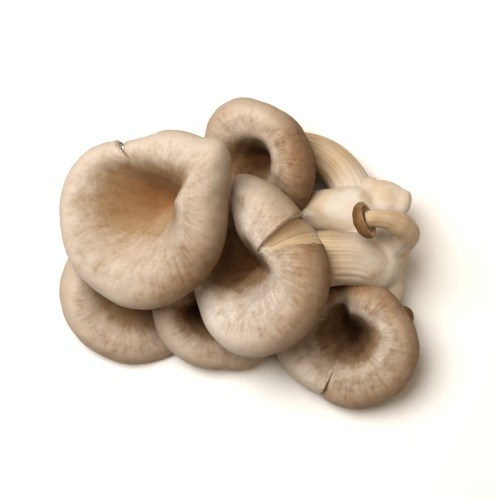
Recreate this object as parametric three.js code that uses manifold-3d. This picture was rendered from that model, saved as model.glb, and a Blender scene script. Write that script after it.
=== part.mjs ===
// Oyster mushroom cluster, picked and laid on a table with its funnel caps facing up.
// Millimetres, +Z up. The origin is on the table, under the middle of the cluster.
// Every mushroom is a cap (one body) and, 0.3 mm below it, the pale gills and stem (one body).
// All stems run into one pale base.
import * as THREE from "three";
import { mergeVertices } from "three/addons/utils/BufferGeometryUtils.js";
import Module from "manifold-3d";

const wasm = await Module();
wasm.setup();

// ---- driving dimensions ---------------------------------------------------------------------

const GAP = 0.3; // between a cap and its gills, and between neighbours
const CUT_BACK = 0.27; // room cut round a cap out of its gills, where their facets differ
const CAP_THICKNESS = 2.4;
const CAP_EDGE = 1.1; // thickness left at the rolled margin
const THIN_FROM = 0.72; // share of the section from which the cap thins to its margin
const GILL_BED = 0.8; // pale flesh that carries the gills
const MARGIN_BED = 0.6; // the same flesh where it ends at the margin
const GILL_HEIGHT = 1.5; // how far each gill stands out of its bed
const MARGIN_GILL = 0.3; // share of that height left near the margin
const GILL_FALL = [0.5, 0.85]; // shares of the section between which the gills get lower
const GILL_END = 0.965; // share of the section at which the gills stop, short of the margin
const WALL = 0.6; // share of the section taken by the funnel wall; the rest is the roll
const CURL = 122; // degrees the margin rolls over from the crest
const NECK = 0.2; // share of the section where the gills run down into the stem
const NECK_STEP = 0.01; // share of the section over which the gills' heading there is taken
const NECK_BEND = 0.385; // handles of the bend from the neck into the stem, by its span
const STEM_RIDGES = [0.7, 0.35]; // share of the gills' height left on the first stem rings
const STEM_STATIONS = 6; // rings along a stem
const BUD_STATIONS = 7; // rings along a bud's stem
const BASE_WAVE = [0.05, 0.04]; // how far a lump departs from smooth, sideways and upwards
const BASE_DETAIL = 2; // times each face of a lump is divided
const WELD = 1e-4; // corners nearer than this are one

const SECTION_STEP = 0.002; // share of the section over which its slope is taken
const SPLIT_HEAL = 0.3; // share of the section over which a split's sides come together
const SPLIT_REACH = 0.1; // share of the way round that feels a split's other side
const SPLIT_ROOM = 1.5; // degrees a neighbour stays out of each side of a split
const GROWN_END = 1.015; // where the section ends once a cap is grown by a gap

const REST_TILT = 12; // degrees the cluster is turned about X to lie on its low points
const REST_SHIFT = [5.518, -4.494, 43.0]; // from the cluster's own centre to the origin on the table
const TABLE = { width: 400, depth: 60 };

const TAN = { color: 0xc4a98c, roughness: 0.82, metalness: 0 };
const TAN_DEEP = { color: 0xb29472, roughness: 0.84, metalness: 0 };
const CREAM = { color: 0xe0cba9, roughness: 0.78, metalness: 0 };
const BROWN = { color: 0x75532f, roughness: 0.85, metalness: 0 };
const IVORY = { color: 0xdccbb2, roughness: 0.85, metalness: 0 };

// Stops along the section, as shares, for the rings of each layer.
const TOP_STOPS = [0.12, 0.26, 0.42, 0.6, 0.7, 0.8, 0.9, 1];
const UNDER_STOPS = [0.14, 0.34, 0.56, 0.7, 0.84, GILL_END];
const GILL_STOPS = [0.84, 0.7, 0.56, 0.38, NECK];

// Radius and height of a bud's cap, as shares, from the crown over the margin to the underside.
const BUD_SECTION = [
  [0.34, -0.05],
  [0.66, -0.2],
  [0.9, -0.46],
  [1, -0.76],
  [0.95, -1],
  [0.8, -1.02],
  [0.68, -0.74],
];
const BUD_UNDER = -0.7; // height of the middle of the underside, by the cap's height
const BUD_WAVE = 0.05; // how far a bud's margin departs from a circle

// Each mushroom: throat is the bottom of the funnel; the funnel's axis leans by lean degrees
// towards the direction toward. A spoke is [direction, crest radius, outer radius, rise of the
// crest, drop of the roll, steepness of the wall]. A split opens between the last spoke and the
// first, from a share of the section outwards, and drifts round as it opens. The stem is a row
// of [x, y, z, radius]. Flesh scales every thickness, and columns counts the faces round.
const MUSHROOMS = [
  {
    name: "right",
    throat: [44.5, -35, -24],
    lean: 11,
    toward: 220,
    columns: 20,
    flesh: 0.9,
    look: TAN,
    split: { at: 247, from: 0.5, half: 0.9, drift: 0 },
    spokes: [
      [247, 20.5, 32.5, 12.5, 9, 1.8],
      [270, 21, 34, 15, 9.5, 3],
      [300, 20, 34, 16, 9.5, 3],
      [330, 19, 32.5, 17, 9.5, 3.5],
      [360, 19, 29.5, 17, 9, 3.5],
      [390, 16, 25.5, 16, 9, 3.5],
      [420, 14, 24.5, 16, 9, 3],
      [446, 13.5, 23.5, 14.5, 8.5, 3],
      [466, 15, 21, 8.5, 6, 1.3],
      [484, 16, 22.5, 10, 7.5, 1.4],
      [510, 18, 27, 12, 8.5, 1.8],
      [540, 22, 33, 13.5, 9, 2],
      [560, 21.5, 34.5, 14, 9.5, 2.1],
      [583, 20, 33, 15, 9.5, 2.1],
      [607, 19.5, 32, 13, 9.5, 1.8],
    ],
    stem: [
      [46, -32, -30.2, 7.5],
      [50, -25, -30.2, 8],
      [54, -15, -29.5, 9],
      [56, -7, -28, 10],
    ],
  },
  {
    name: "centre",
    throat: [3, -7, -10.5],
    lean: 21,
    toward: 175,
    columns: 24,
    flesh: 1,
    look: TAN,
    split: { at: 43, from: 0.3, half: 15, drift: -14 },
    spokes: [
      [43, 15, 31, 20, 13, 5],
      [60, 17, 33, 20, 13.5, 5.5],
      [78, 21, 36, 20, 13.5, 6],
      [92, 26, 38.5, 19, 13, 7],
      [102, 30, 39.5, 17.5, 12.5, 8],
      [114, 25, 35, 7, 7, 1.6],
      [145, 23, 30, 9, 6, 1.4],
      [175, 22, 28, 12, 6, 1.3],
      [205, 21.5, 28, 12.5, 6.5, 1.3],
      [230, 19.5, 30.5, 13.5, 8, 1.7],
      [255, 23, 34.5, 15, 9, 3],
      [285, 26, 38.5, 17.5, 10, 4],
      [315, 25.5, 38, 19, 11, 4.5],
      [345, 23, 37, 20, 13, 4],
      [375, 19, 35.5, 20.5, 13, 5],
      [403, 16, 33.5, 20.5, 13, 5],
    ],
    stem: [
      [4, -7, -20.5, 8.5],
      [10, -6.5, -23.5, 9.5],
      [20.5, -3.5, -13.5, 11],
      [30, -3.6, -11, 11.9],
      [44, -4, -13, 11.8],
      [54, -8, -17.5, 9.5],
    ],
  },
  {
    name: "left",
    throat: [-33, 19.5, -2],
    lean: 16,
    toward: 185,
    columns: 24,
    flesh: 1.05,
    look: TAN,
    split: { at: 126, from: 0.5, half: 3.2, drift: 0 },
    spokes: [
      [126, 27, 34.5, 16, 9, 2],
      [150, 34, 42.5, 16, 9, 1.8],
      [180, 38, 47.5, 16, 9, 1.8],
      [210, 40, 49, 16, 9, 1.8],
      [240, 36, 48, 15, 9, 2],
      [270, 28, 42, 16, 10, 2.5],
      [300, 21, 35, 19, 12, 3.5],
      [330, 17, 30, 22, 13, 4.5],
      [360, 15, 27, 23, 13, 5],
      [384, 19, 31.5, 22, 12, 4.5],
      [403, 26, 36.5, 21, 8, 3.5],
      [422, 22, 31.5, 18.5, 9.5, 3],
      [450, 20, 30.5, 16.5, 9, 2.5],
      [470, 22, 29.5, 16, 9, 2.2],
      [486, 25, 31.5, 16, 9, 2],
    ],
    stem: [
      [-31, 19, -13, 8.5],
      [-25, 18, -24, 8],
      [-10, 15, -34.5, 7.5],
      [10, 13.5, -37, 8.5],
      [28, 15.5, -32, 10.5],
      [46, 16, -27, 12],
    ],
  },
  {
    name: "top",
    throat: [8, 42, -32],
    lean: 22,
    toward: 195,
    columns: 20,
    flesh: 0.95,
    look: TAN,
    spokes: [
      [0, 12, 23, 18, 12, 5],
      [30, 12, 21.3, 18, 11, 5.5],
      [60, 13, 21.5, 16.5, 10.5, 6],
      [90, 15, 24, 15.5, 10, 6.5],
      [120, 17.5, 29, 15, 9.5, 6],
      [150, 18.5, 30.5, 13, 9, 3],
      [180, 20, 30, 10.5, 8, 1.6],
      [210, 18, 26, 9, 8, 1.5],
      [240, 16, 25, 9, 8, 1.5],
      [270, 15, 25, 11.5, 9, 2],
      [300, 16, 29.5, 15, 11, 3.5],
      [330, 14, 26.8, 18, 12, 4.5],
    ],
    stem: [
      [12, 43, -42, 7],
      [20, 45.5, -45.6, 7.8],
      [31, 43.5, -42, 9],
      [39.5, 37.5, -38, 8.8],
      [45.5, 28, -34, 9],
      [50, 15, -31, 9],
    ],
  },
  {
    name: "low_middle",
    throat: [-15, -25, -26.3],
    lean: 10,
    toward: 290,
    columns: 18,
    flesh: 0.85,
    look: TAN_DEEP,
    spokes: [
      [0, 15, 24, 7, 7, 2],
      [45, 9, 17, 5, 7, 2],
      [90, 8, 15, 4, 7, 2],
      [135, 8, 15, 5, 7, 2],
      [158, 11, 20, 7, 7, 2],
      [180, 19, 28, 11, 7, 2],
      [225, 18, 27.5, 11, 7.5, 2],
      [270, 18, 27, 11, 8, 2],
      [300, 21, 31, 10, 8, 2],
      [330, 22, 32, 9, 8, 2],
    ],
    stem: [
      [-12, -23, -32.5, 6],
      [-3, -20, -33, 6.3],
      [14, -18, -33.5, 6.5],
      [32, -14, -33, 7.5],
      [44, -9, -31, 8.5],
    ],
  },
  {
    name: "low_left",
    throat: [-51, -18, -29.8],
    lean: 6,
    toward: 315,
    columns: 18,
    flesh: 0.85,
    look: TAN_DEEP,
    spokes: [
      [0, 13, 21, 2.5, 6, 2],
      [45, 11, 20, 6, 7, 2],
      [90, 14, 23, 8, 8, 2],
      [135, 23, 32, 9, 8, 2],
      [180, 24, 33, 9, 8, 2],
      [225, 24, 33, 9, 8, 2],
      [270, 24, 32.5, 9, 8, 2],
      [300, 25, 33, 5.5, 6, 2],
      [330, 19, 27, 2, 5.5, 2],
    ],
    stem: [
      [-47, -17, -34.5, 5],
      [-37, -13, -36.6, 5],
      [-16, -5, -37.4, 5.2],
      [8, -1, -37, 5.6],
      [32, -3, -36.5, 6.5],
      [45, -3, -35, 7],
    ],
  },
];

// Closed young buds: top is the crown of the convex cap, which leans like the funnels do.
const BUDS = [
  {
    name: "bud",
    top: [44, 11, 1.5],
    lean: 115,
    toward: 199,
    radius: 7.6,
    height: 6.2,
    columns: 16,
    stem: [
      [48.4, 12.5, 3.6, 3.4],
      [52.5, 13.2, 4.4, 3.8],
      [57.8, 12.6, 3.6, 4.2],
      [63, 10.5, 1.2, 4.8],
      [66.6, 7.6, -3.2, 5.3],
      [66, 4.8, -9, 5.5],
      [62, 1.5, -15, 5.5],
    ],
  },
  {
    name: "small_bud",
    top: [70.3, -28.9, -24.5],
    lean: 42,
    toward: 20,
    radius: 5,
    height: 4.2,
    columns: 12,
    stem: [
      [67.8, -29.8, -27.7, 2.2],
      [66.3, -29.2, -29.4, 2.7],
      [64, -24.5, -30.5, 3],
      [61, -17, -29.5, 3.4],
    ],
  },
];

// Lumps of the base: [x, y, z, half width, half length, half height, degrees turned].
const BASE_LUMPS = [
  [59, 21, -27, 11, 9.5, 9, 20],
  [66.5, 20.5, -24, 4.5, 7, 5, -28],
  [51, 24, -32, 9, 9, 9, 0],
  [41, 21, -38, 10, 8.5, 8, 20],
  [51, 12, -30, 15, 13, 13, 0],
  [57, 2, -24, 14, 14, 14, 0],
  [55, -9, -27, 13, 12, 12, 0],
  [60, -17, -27, 8, 10, 9, 0],
];

// ---- small helpers --------------------------------------------------------------------------

const radians = (degrees) => (degrees * Math.PI) / 180;
const mix = (a, b, share) => a + (b - a) * share;

function smooth(from, to, value) {
  const share = Math.min(1, Math.max(0, (value - from) / (to - from)));
  return share * share * (3 - 2 * share);
}

// ---- the funnel's section -------------------------------------------------------------------

// Unit vectors of a mushroom: the funnel's axis, and the two directions across it.
function axesOf(mushroom) {
  const lean = radians(mushroom.lean);
  const toward = radians(mushroom.toward);
  const up = new THREE.Vector3(
    Math.sin(lean) * Math.cos(toward),
    Math.sin(lean) * Math.sin(toward),
    Math.cos(lean),
  );
  const across = new THREE.Vector3(1, 0, 0).addScaledVector(up, -up.x).normalize();
  return { up, across, along: new THREE.Vector3().crossVectors(up, across) };
}

// The spokes' measures a share of the way round from the first spoke.
function betweenSpokes(mushroom, share) {
  const { spokes, split } = mushroom;
  const first = spokes[0];
  const row = split ? spokes : [...spokes, [first[0] + 360, ...first.slice(1)]];
  const angle = first[0] + 360 * share;
  let i = 1;
  while (i < row.length - 1 && row[i][0] < angle) i += 1;
  const part = (angle - row[i - 1][0]) / (row[i][0] - row[i - 1][0]);
  const blend = mix(part, smooth(0, 1, part), 0.5);
  return row[i].slice(1).map((value, k) => mix(row[i - 1][k + 1], value, blend));
}

// The same measures, with both sides of a split brought together below the split's root.
function measuresAt(mushroom, share, s) {
  const measures = betweenSpokes(mushroom, share);
  if (!mushroom.split) return measures;
  const { spokes, split } = mushroom;
  const together = 1 - smooth(split.from, split.from + SPLIT_HEAL, s);
  const nearFirst = Math.exp(-((share / SPLIT_REACH) ** 2)) * together;
  const nearLast = Math.exp(-(((1 - share) / SPLIT_REACH) ** 2)) * together;
  return measures.map((value, k) => {
    const half = (spokes[spokes.length - 1][k + 1] - spokes[0][k + 1]) / 2;
    return value + half * nearFirst - half * nearLast;
  });
}

// Radius and height on the funnel's upper face: the wall up to WALL, then the roll.
function sectionPoint([crest, outer, rise, drop, steepness], s) {
  if (s <= WALL) {
    const share = s / WALL;
    return [crest * share, rise * (1 - (1 - share * share) ** steepness)];
  }
  const turn = radians((CURL * (s - WALL)) / (1 - WALL));
  return [crest + (outer - crest) * Math.sin(turn), rise - drop * (1 - Math.cos(turn))];
}

// A point of the section moved by depth towards the underside.
function sectionOffset(measures, s, depth) {
  const [r0, h0] = sectionPoint(measures, s - SECTION_STEP);
  const [r1, h1] = sectionPoint(measures, s + SECTION_STEP);
  const [r, h] = sectionPoint(measures, s);
  const length = Math.hypot(r1 - r0, h1 - h0);
  return [r + (depth * (h1 - h0)) / length, h - (depth * (r1 - r0)) / length];
}

// Direction of one column: the columns draw apart beyond the root of a split.
function columnAngle(mushroom, share, s) {
  const { split, spokes } = mushroom;
  if (!split) return spokes[0][0] + 360 * share;
  const beyond = s > split.from ? (1 - split.from / s) / (1 - split.from) : 0;
  const open = split.half * beyond;
  const seam = split.at + split.drift * beyond;
  return seam + open + (360 - 2 * open) * share;
}

// A point of the funnel, depth below its upper face.
function funnelPoint(mushroom, axes, share, s, depth) {
  const turn = radians(columnAngle(mushroom, share, s));
  const [r, h] = sectionOffset(measuresAt(mushroom, share, s), s, depth);
  return new THREE.Vector3(...mushroom.throat)
    .addScaledVector(axes.across, r * Math.cos(turn))
    .addScaledVector(axes.along, r * Math.sin(turn))
    .addScaledVector(axes.up, h);
}

// A ring of points on the funnel; a split leaves it open.
function funnelRing(mushroom, axes, count, s, depthAt) {
  const { split } = mushroom;
  const points = [];
  const last = split ? count : count - 1;
  for (let i = 0; i <= last; i += 1) {
    points.push(funnelPoint(mushroom, axes, i / count, s, depthAt(i)));
  }
  if (split && s <= split.from) points[count] = points[0].clone();
  return { points, closed: !split, s };
}

// Depths below the funnel's upper face, by share of the section.
const capDepth = (s) => mix(CAP_THICKNESS, CAP_EDGE, smooth(THIN_FROM, 1, s));
const bedDepth = (s) => capDepth(s) + mix(GILL_BED, MARGIN_BED, smooth(WALL, 1, s));
const gillHeight = (s) => GILL_HEIGHT * mix(1, MARGIN_GILL, smooth(...GILL_FALL, s));

// ---- closed bodies from rings ---------------------------------------------------------------

const spansOf = (ring) => ring.points.length - 1 + (ring.closed ? 1 : 0);

// Triangles between two rings that have the same count, or 1 to 2, or 2 to 1.
function joinRings(faces, a, b) {
  const spansA = spansOf(a);
  const spansB = spansOf(b);
  const at = (ring, i) => ring.points[i % ring.points.length];
  if (spansB === spansA) {
    for (let i = 0; i < spansA; i += 1) {
      faces.push([at(a, i), at(b, i), at(b, i + 1)]);
      faces.push([at(a, i), at(b, i + 1), at(a, i + 1)]);
    }
  } else if (spansB === 2 * spansA) {
    for (let i = 0; i < spansA; i += 1) {
      faces.push([at(a, i), at(b, 2 * i), at(b, 2 * i + 1)]);
      faces.push([at(a, i), at(b, 2 * i + 1), at(a, i + 1)]);
      faces.push([at(a, i + 1), at(b, 2 * i + 1), at(b, 2 * i + 2)]);
    }
  } else {
    for (let i = 0; i < spansB; i += 1) {
      faces.push([at(a, 2 * i), at(b, i), at(a, 2 * i + 1)]);
      faces.push([at(a, 2 * i + 1), at(b, i), at(b, i + 1)]);
      faces.push([at(a, 2 * i + 1), at(b, i + 1), at(a, 2 * i + 2)]);
    }
  }
}

function joinAll(faces, rings) {
  for (let i = 1; i < rings.length; i += 1) joinRings(faces, rings[i - 1], rings[i]);
}

function fanFaces(faces, ring, centre, outwards) {
  for (let i = 0; i < spansOf(ring); i += 1) {
    const p = ring.points[i];
    const q = ring.points[(i + 1) % ring.points.length];
    faces.push(outwards ? [centre, p, q] : [centre, q, p]);
  }
}

// One face of a split: a strip between the upper row and the lower row of an end column.
function splitFace(faces, upper, lower, flip) {
  const row = [...upper, ...lower.slice().reverse()];
  let i = 0;
  let j = row.length - 1;
  while (j - i > 1) {
    const fromUpper = (i + row.length - 1 - j) % 2 === 0;
    const next = fromUpper ? row[i + 1] : row[j - 1];
    faces.push(flip ? [row[i], row[j], next] : [row[i], next, row[j]]);
    if (fromUpper) i += 1;
    else j -= 1;
  }
}

// Both faces of a split, from its root outwards.
function closeSplit(faces, mushroom, upper, lower) {
  const { from } = mushroom.split;
  const endsOf = (rings, pick) => {
    const inside = rings.filter((ring) => ring.s <= from);
    const beyond = rings.filter((ring) => ring.s > from);
    return [inside[inside.length - 1], ...beyond].map((ring) => pick(ring.points));
  };
  const first = (points) => points[0];
  const last = (points) => points[points.length - 1];
  splitFace(faces, endsOf(upper, first), endsOf(lower, first), true);
  splitFace(faces, endsOf(upper, last), endsOf(lower, last), false);
}

// The cluster's own frame turned and lifted to rest on the table.
function onTable(point) {
  const turned = point.clone().applyAxisAngle(new THREE.Vector3(1, 0, 0), radians(REST_TILT));
  return turned.add(new THREE.Vector3(...REST_SHIFT));
}

function solidOf(positions, index) {
  return new wasm.Manifold(
    new wasm.Mesh({
      numProp: 3,
      vertProperties: new Float32Array(positions),
      triVerts: new Uint32Array(index),
    }),
  );
}

// Triangles in the cluster's own frame as a solid on the table.
function toSolid(faces) {
  const positions = new Float32Array(faces.length * 9);
  faces.forEach((face, f) => {
    face.forEach((point, k) => {
      positions.set(onTable(point).toArray(), f * 9 + k * 3);
    });
  });
  const loose = new THREE.BufferGeometry();
  loose.setAttribute("position", new THREE.BufferAttribute(positions, 3));
  const merged = mergeVertices(loose, WELD);
  const index = merged.index.array;
  const kept = [];
  for (let i = 0; i < index.length; i += 3) {
    const [a, b, c] = [index[i], index[i + 1], index[i + 2]];
    if (a !== b && b !== c && c !== a) kept.push(a, b, c);
  }
  return solidOf(merged.attributes.position.array, kept);
}

// ---- cap ------------------------------------------------------------------------------------

// A cap, closed at the throat and at the margin, larger all round by grow.
function capSolid(mushroom, grow = 0) {
  const axes = axesOf(mushroom);
  const end = grow > 0 ? GROWN_END : 1;
  const depth = (s) => capDepth(s) * mushroom.flesh + grow;
  const ringsAt = (stops, depthAt) =>
    [...stops.filter((s) => s < end), end].map((s) =>
      funnelRing(mushroom, axes, mushroom.columns, s, () => depthAt(s)),
    );
  const upper = ringsAt(TOP_STOPS, () => -grow);
  const lower = ringsAt(UNDER_STOPS, depth);
  const faces = [];
  fanFaces(faces, upper[0], funnelPoint(mushroom, axes, 0, 0, -grow), true);
  joinAll(faces, [...upper, ...lower.slice().reverse()]);
  fanFaces(faces, lower[0], funnelPoint(mushroom, axes, 0, 0, depth(0)), false);
  if (mushroom.split) closeSplit(faces, mushroom, upper, lower);
  return toSolid(faces);
}

// ---- gills and stem -------------------------------------------------------------------------

// Stations along a stem: centre, direction, radius and the two directions across it.
function stemStations(mushroom, count) {
  const points = mushroom.stem.map(([x, y, z]) => new THREE.Vector3(x, y, z));
  const curve = new THREE.CatmullRomCurve3(points, false, "centripetal");
  const radii = mushroom.stem.map((row) => row[3]);
  const stations = [];
  let { across } = axesOf(mushroom);
  for (let i = 0; i < count; i += 1) {
    const t = i / (count - 1);
    const direction = curve.getTangent(t);
    across = across.clone().addScaledVector(direction, -across.dot(direction)).normalize();
    const place = t * (radii.length - 1);
    const k = Math.min(radii.length - 2, Math.floor(place));
    stations.push({
      centre: curve.getPoint(t),
      direction,
      radius: mix(radii[k], radii[k + 1], place - k),
      across,
      along: new THREE.Vector3().crossVectors(across, direction),
    });
  }
  return stations;
}

function stationPoint(station, angle, radius) {
  const turn = radians(angle);
  return station.centre
    .clone()
    .addScaledVector(station.across, radius * Math.cos(turn))
    .addScaledVector(station.along, radius * Math.sin(turn));
}

// Where the gills are half way along the curve from the neck into the first stem ring.
function neckPoint(start, heading, end, direction) {
  const reach = start.distanceTo(end) * NECK_BEND;
  const leaving = start.clone().addScaledVector(heading, reach);
  const arriving = end.clone().addScaledVector(direction, -reach);
  return new THREE.CubicBezierCurve3(start, leaving, arriving, end).getPoint(0.5);
}

// The gilled flesh under a cap with its stem. Grown, it also takes in the cap and has no gills.
function gillsAndStem(mushroom, grow = 0) {
  const axes = axesOf(mushroom);
  const { columns, flesh } = mushroom;
  const end = grow > 0 ? GROWN_END : GILL_END;
  const stops = (grow > 0 ? TOP_STOPS : UNDER_STOPS).filter((s) => s < end);
  const inner = (s) => (grow > 0 ? -grow : capDepth(s) * flesh + GAP);
  const bed = (s) => bedDepth(s) * flesh + GAP + grow;
  const ridge = (i, s) => (grow > 0 ? 1 : i % 2) * gillHeight(s) * flesh;
  const upper = [...stops, end].map((s) =>
    funnelRing(mushroom, axes, columns, s, () => inner(s)),
  );
  const lower = [end, ...GILL_STOPS].map((s) =>
    funnelRing(mushroom, axes, 2 * columns, s, (i) => bed(s) + ridge(i, s)),
  );
  const faces = [];
  fanFaces(faces, upper[0], funnelPoint(mushroom, axes, 0, 0, inner(0)), true);
  joinAll(faces, [...upper, ...lower]);
  if (mushroom.split) closeSplit(faces, mushroom, upper, lower.slice().reverse());
  addStem(faces, mushroom, lower[lower.length - 1], grow);
  return toSolid(faces);
}

// One ring of a stem; ridges is the share of the gills' height that every second point keeps.
function stemRing(mushroom, station, count, ridges, grow) {
  const height = GILL_HEIGHT * mushroom.flesh * ridges;
  const points = [];
  for (let i = 0; i < count; i += 1) {
    const ridge = (grow > 0 ? 1 : i % 2) * height;
    const angle = columnAngle(mushroom, i / count, NECK);
    points.push(stationPoint(station, angle, station.radius + grow + ridge));
  }
  return { points, closed: true };
}

function addStem(faces, mushroom, neck, grow) {
  const axes = axesOf(mushroom);
  const fine = 2 * mushroom.columns;
  const stations = stemStations(mushroom, STEM_STATIONS);
  const start = { points: neck.points.slice(0, fine), closed: true };
  const stem = stations.map((station, k) =>
    k < STEM_RIDGES.length
      ? stemRing(mushroom, station, fine, STEM_RIDGES[k], grow)
      : stemRing(mushroom, station, mushroom.columns, 0, grow),
  );
  const middle = start.points.map((point, i) => {
    const before = funnelPoint(mushroom, axes, i / fine, NECK + NECK_STEP, CAP_THICKNESS);
    const after = funnelPoint(mushroom, axes, i / fine, NECK - NECK_STEP, CAP_THICKNESS);
    const heading = after.sub(before).normalize();
    return neckPoint(point, heading, stem[0].points[i], stations[0].direction);
  });
  joinAll(faces, [start, { points: middle, closed: true }, ...stem]);
  fanFaces(faces, stem[stem.length - 1], stations[stations.length - 1].centre, false);
}

// ---- buds -----------------------------------------------------------------------------------

function budCap(bud) {
  const axes = axesOf(bud);
  const at = (r, h, turn) =>
    new THREE.Vector3(...bud.top)
      .addScaledVector(axes.across, r * bud.radius * Math.cos(turn))
      .addScaledVector(axes.along, r * bud.radius * Math.sin(turn))
      .addScaledVector(axes.up, h * bud.height);
  const rings = BUD_SECTION.map(([r, h]) => {
    const points = [];
    for (let i = 0; i < bud.columns; i += 1) {
      const turn = radians((360 * i) / bud.columns);
      points.push(at(r * (1 + BUD_WAVE * Math.sin(2 * turn)), h, turn));
    }
    return { points, closed: true };
  });
  const faces = [];
  fanFaces(faces, rings[0], at(0, 0, 0), true);
  joinAll(faces, rings);
  fanFaces(faces, rings[rings.length - 1], at(0, BUD_UNDER, 0), false);
  return toSolid(faces);
}

function budStem(bud, grow = 0) {
  const stations = stemStations(bud, BUD_STATIONS);
  const rings = stations.map((station) => {
    const points = [];
    for (let i = 0; i < bud.columns; i += 1) {
      const angle = (360 * i) / bud.columns;
      points.push(stationPoint(station, angle, station.radius + grow));
    }
    return { points, closed: true };
  });
  const faces = [];
  fanFaces(faces, rings[0], stations[0].centre, true);
  joinAll(faces, rings);
  fanFaces(faces, rings[rings.length - 1], stations[stations.length - 1].centre, false);
  return toSolid(faces);
}

// ---- base -----------------------------------------------------------------------------------

// One uneven lump of the base, larger by grow.
function lumpSolid([x, y, z, width, length, height, turn], grow) {
  const [wide, tall] = BASE_WAVE;
  const geometry = new THREE.IcosahedronGeometry(1, BASE_DETAIL);
  const position = geometry.getAttribute("position");
  for (let i = 0; i < position.count; i += 1) {
    const p = new THREE.Vector3().fromBufferAttribute(position, i);
    const sideways = wide * Math.sin(4 * p.x + x) * Math.cos(3 * p.y - y);
    p.multiplyScalar(1 + sideways + tall * Math.sin(5 * p.z));
    position.setXYZ(i, p.x, p.y, p.z);
  }
  geometry.scale(width + grow, length + grow, height + grow);
  geometry.rotateZ(radians(turn));
  geometry.translate(x, y, z);
  const faces = [];
  for (let i = 0; i < position.count; i += 3) {
    faces.push([0, 1, 2].map((k) => new THREE.Vector3().fromBufferAttribute(position, i + k)));
  }
  return toSolid(faces);
}

function baseSolid(grow) {
  return BASE_LUMPS.map((row) => lumpSolid(row, grow)).reduce((sum, lump) => sum.add(lump));
}

// ---- cluster --------------------------------------------------------------------------------

// Everything under the table, cut away so that the low points rest on small flat spots.
function underTable() {
  const box = new THREE.BoxGeometry(TABLE.width, TABLE.width, TABLE.depth);
  box.translate(0, 0, -TABLE.depth / 2);
  const merged = mergeVertices(box.deleteAttribute("normal").deleteAttribute("uv"));
  return solidOf(merged.getAttribute("position").array, merged.index.array);
}

// The room a mushroom takes, with the gap that its neighbours keep from it.
function envelopeOf(mushroom) {
  const { split } = mushroom;
  if (!split) return gillsAndStem(mushroom, GAP);
  return gillsAndStem({ ...mushroom, split: { ...split, half: split.half - SPLIT_ROOM } }, GAP);
}

function largestPiece(solid) {
  return solid.decompose().reduce((best, piece) => (piece.volume() > best.volume() ? piece : best));
}

const cluster = new THREE.Group();

// Adds one body, less all the room that is already taken.
function addBody(name, solid, taken, look) {
  const rest = largestPiece(taken.reduce((left, room) => left.subtract(room), solid));
  const { vertProperties, triVerts } = rest.getMesh();
  const geometry = new THREE.BufferGeometry();
  geometry.setAttribute("position", new THREE.BufferAttribute(vertProperties, 3));
  geometry.setIndex(new THREE.BufferAttribute(triVerts, 1));
  const mesh = new THREE.Mesh(geometry, new THREE.MeshStandardMaterial(look));
  mesh.name = name;
  cluster.add(mesh);
}

const table = underTable();
const taken = [table, baseSolid(GAP)];
for (const mushroom of MUSHROOMS) {
  const gills = gillsAndStem(mushroom).subtract(capSolid(mushroom, CUT_BACK));
  addBody(`cap_${mushroom.name}`, capSolid(mushroom), taken, mushroom.look);
  addBody(`gills_stem_${mushroom.name}`, gills, taken, CREAM);
  taken.push(envelopeOf(mushroom));
}
for (const bud of BUDS) {
  const room = budStem(bud, GAP);
  addBody(`cap_${bud.name}`, budCap(bud).subtract(room), taken, BROWN);
  addBody(`stem_${bud.name}`, budStem(bud), taken, CREAM);
  taken.push(room);
}
addBody("base", baseSolid(0), [table], IVORY);

export default cluster;
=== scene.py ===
"""Oyster mushroom cluster: fine skins, gills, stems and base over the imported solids."""
from math import cos, pi, radians, sin

import bmesh
import bpy
import numpy as np
from mathutils import Matrix, Vector


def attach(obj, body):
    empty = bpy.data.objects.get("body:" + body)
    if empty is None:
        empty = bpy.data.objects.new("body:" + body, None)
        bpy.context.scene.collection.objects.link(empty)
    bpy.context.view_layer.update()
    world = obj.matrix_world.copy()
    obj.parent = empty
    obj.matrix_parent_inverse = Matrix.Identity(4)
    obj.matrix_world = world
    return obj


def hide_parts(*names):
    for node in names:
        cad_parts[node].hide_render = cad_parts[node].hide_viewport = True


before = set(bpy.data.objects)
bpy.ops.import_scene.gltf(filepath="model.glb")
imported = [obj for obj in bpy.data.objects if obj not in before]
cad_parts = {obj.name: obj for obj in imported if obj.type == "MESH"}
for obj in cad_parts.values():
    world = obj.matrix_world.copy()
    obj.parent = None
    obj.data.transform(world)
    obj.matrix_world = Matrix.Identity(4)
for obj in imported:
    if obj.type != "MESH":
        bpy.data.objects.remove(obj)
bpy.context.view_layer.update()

bl_info = {
    "name": "Oyster Mushroom Cluster",
    "version": (1, 0, 0),
    "blender": (4, 5, 0),
    "location": "3D View > Sidebar > Mushrooms",
    "description": "Dresses a cluster of oyster mushrooms with fine caps, gills, stems and base",
    "category": "Add Mesh",
}

MM = 0.001
BODY = "root"

# ---- the cluster's own frame, in millimetres, and how it rests ----

REST_TILT = radians(12)
REST_SHIFT = np.array([5.518, -4.494, 43.0])

# ---- the funnel's section, as in the solids: lengths in millimetres, places in shares ----

GAP = 0.3
CAP_THICKNESS = 2.4
CAP_EDGE = 1.1
GILL_BED = 0.8
MARGIN_BED = 0.6
GILL_HEIGHT = 1.5
GILL_END = 0.965
WALL = 0.6  # from the bottom of the funnel to its crest; the rest rolls down to the margin
CURL = radians(122)
NECK = 0.2  # where the stem leaves the funnel
CAP_THINS = (0.72, 1)
BED_THINS = (0.6, 1)
SEAM = 0.3  # how far past a split's root its two sides come apart
SEAM_LEAD = 10
SLOPE_STEP = 0.002

# ---- the finer surface ----
# A pair of shares says where a change begins and ends, along the section or a stem.

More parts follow.
